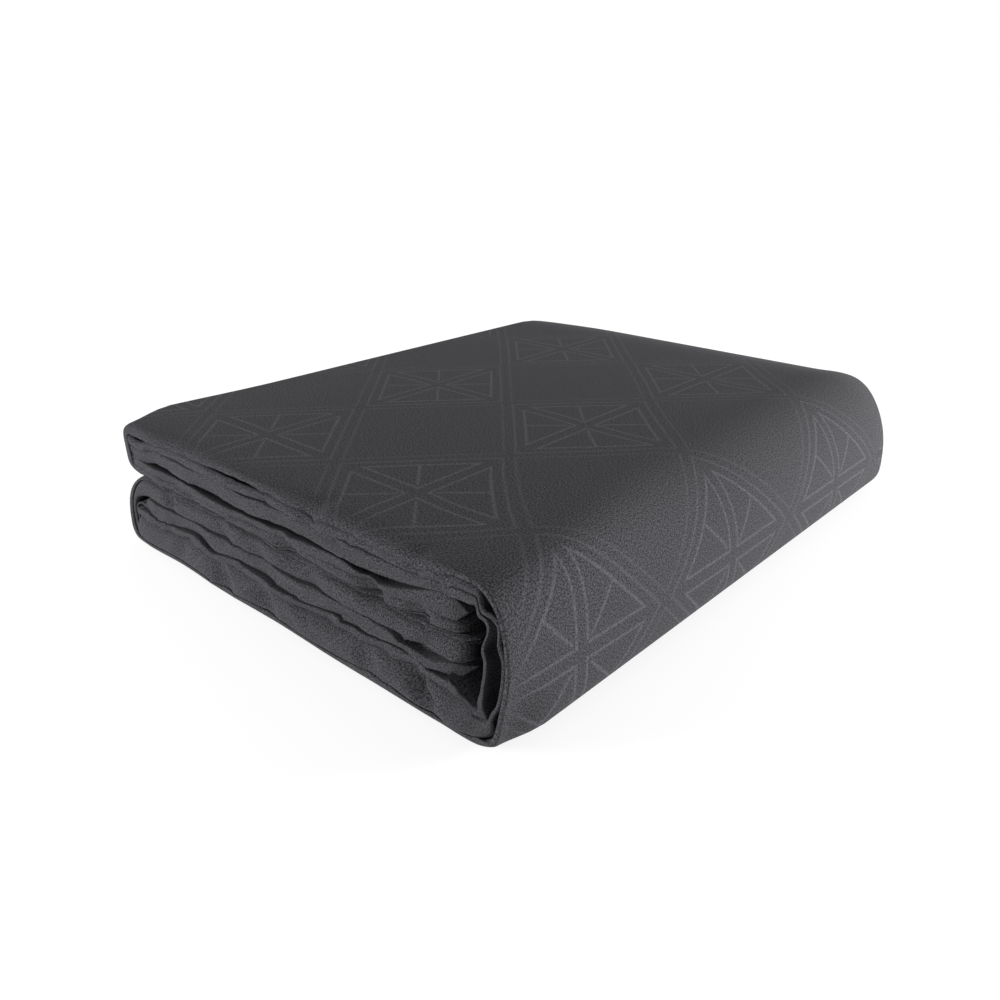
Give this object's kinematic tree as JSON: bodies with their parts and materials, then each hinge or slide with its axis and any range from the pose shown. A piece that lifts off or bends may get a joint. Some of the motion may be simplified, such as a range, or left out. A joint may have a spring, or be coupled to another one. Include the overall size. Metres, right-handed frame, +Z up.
{
  "type": "comforter",
  "caption": "Comforter in charcoal jacquard cloth with a diamond trellis weave, folded into a soft stack with a smooth spine, side loops and layered ends.",
  "frame": {"origin": "centre of the bounding box on the surface that the folded stack lies on", "axes": "+Z up, +X from the looped side to the smooth spine, +Y along the spine from the layered near end to the far end"},
  "size_m": [0.448, 0.548, 0.1097],
  "materials": {
    "charcoal_cloth": "matte woven jacquard, heathered charcoal"
  },
  "bodies": {
    "root": {"comforter": "charcoal_cloth"}
  },
  "joints": []
}
